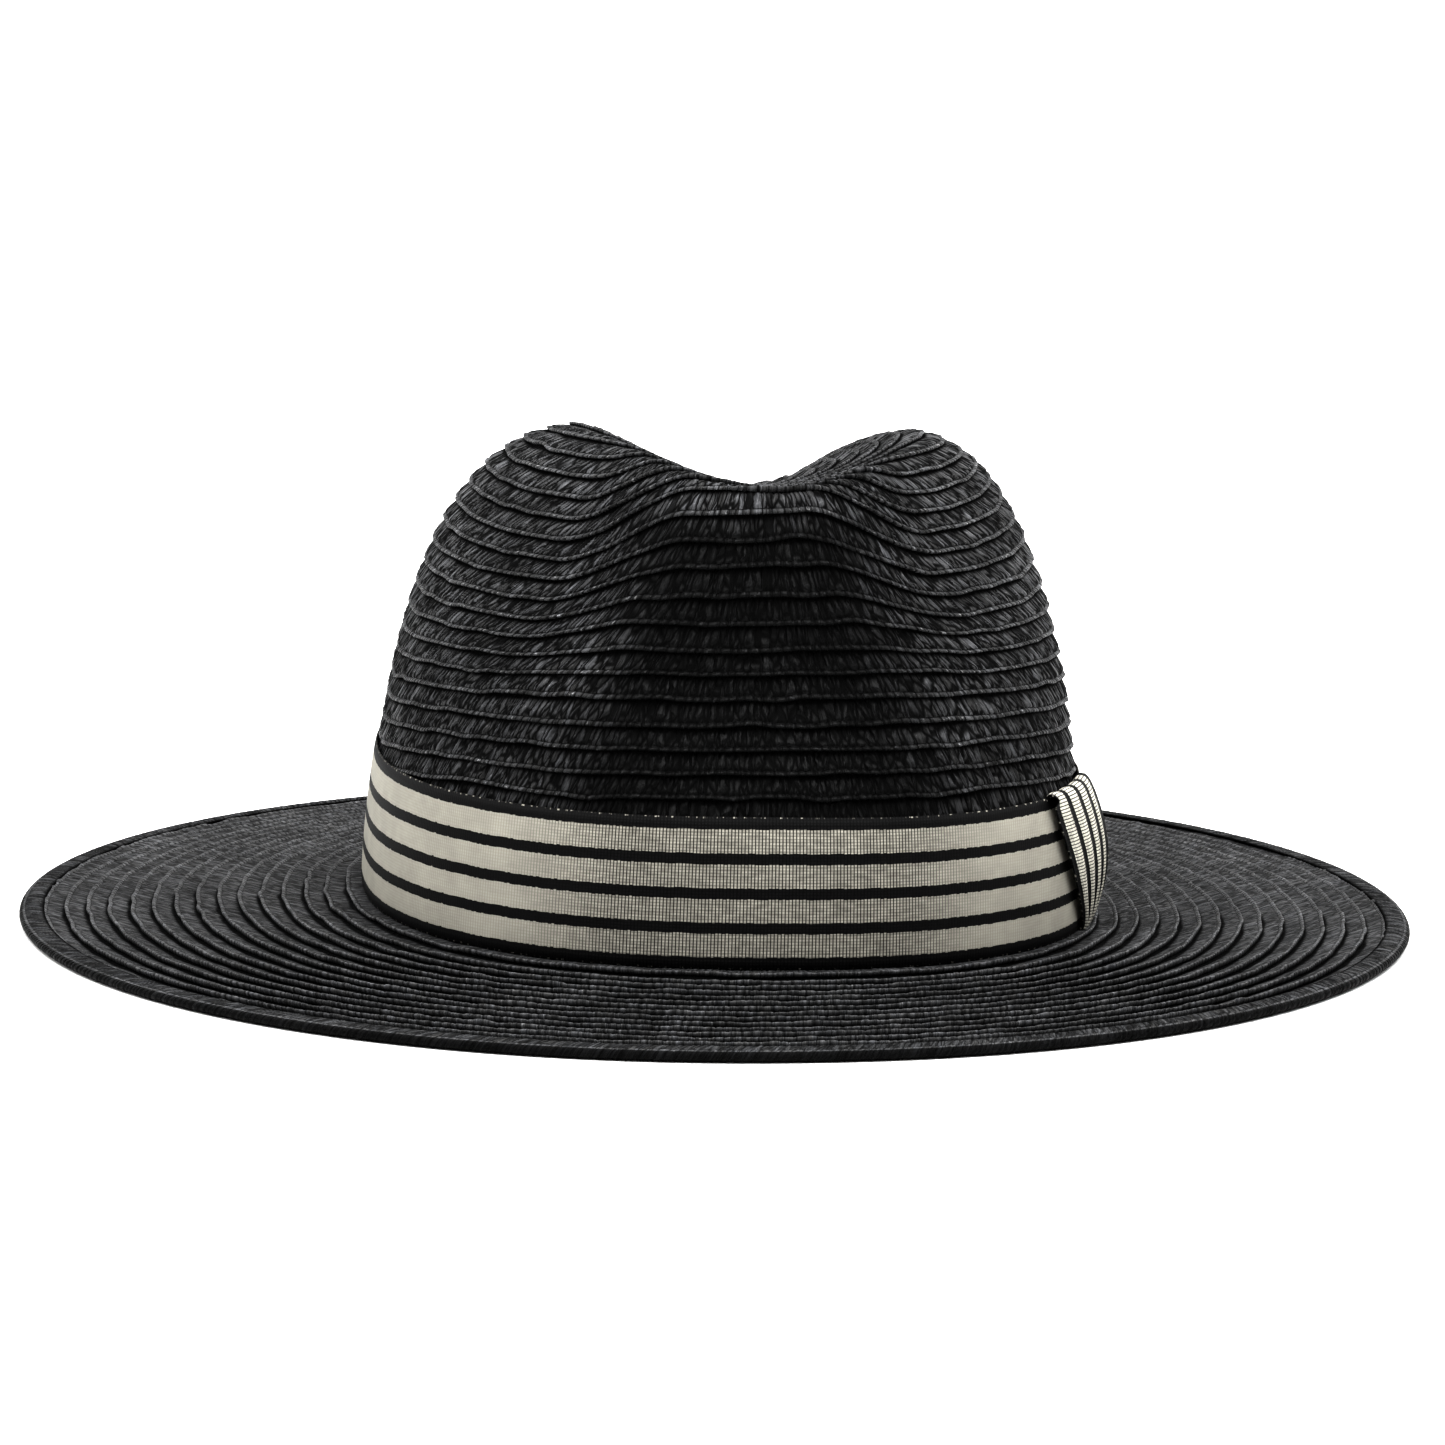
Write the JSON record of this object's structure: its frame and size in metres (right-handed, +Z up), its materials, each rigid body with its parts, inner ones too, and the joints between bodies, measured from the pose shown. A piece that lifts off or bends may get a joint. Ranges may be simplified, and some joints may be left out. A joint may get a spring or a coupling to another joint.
{
  "type": "sun_hat",
  "caption": "Charcoal straw sun hat of plaited braid, with a pinched crown, a wide flat round brim and a black ribbon striped in cream",
  "frame": {"origin": "middle of the brim's bounding box, on the surface that the hat rests on", "axes": "+Z up through the crown; -Y towards the front of the hat, where the flat facet is; +X towards the wearer's left, where the ribbon's wrap is"},
  "size_m": [0.3502, 0.3658, 0.1269],
  "materials": {
    "black_straw": "dyed plaited paper straw with a soft sheen",
    "striped_ribbon": "ribbed ribbon, black with cream stripes",
    "black_twill": "matt woven band",
    "steel_wire": "drawn spring wire",
    "thread": "sewing thread",
    "blank_label": "woven tab with nothing on it"
  },
  "bodies": {
    "root": {"side_crown_braid": "black_straw", "crown_tip_braid": "black_straw", "brim_braid": "black_straw", "brim_edge_braid": "black_straw", "brim_wire": "steel_wire", "wire_joiner": "steel_wire", "hatband_ribbon": "striped_ribbon", "hatband_wrap": "striped_ribbon", "band_tack_back": "thread", "band_tack_left_side": "thread", "band_tack_right_side": "thread", "sweatband": "black_twill", "sweatband_back_tape": "black_twill", "size_label": "blank_label"}
  },
  "joints": []
}
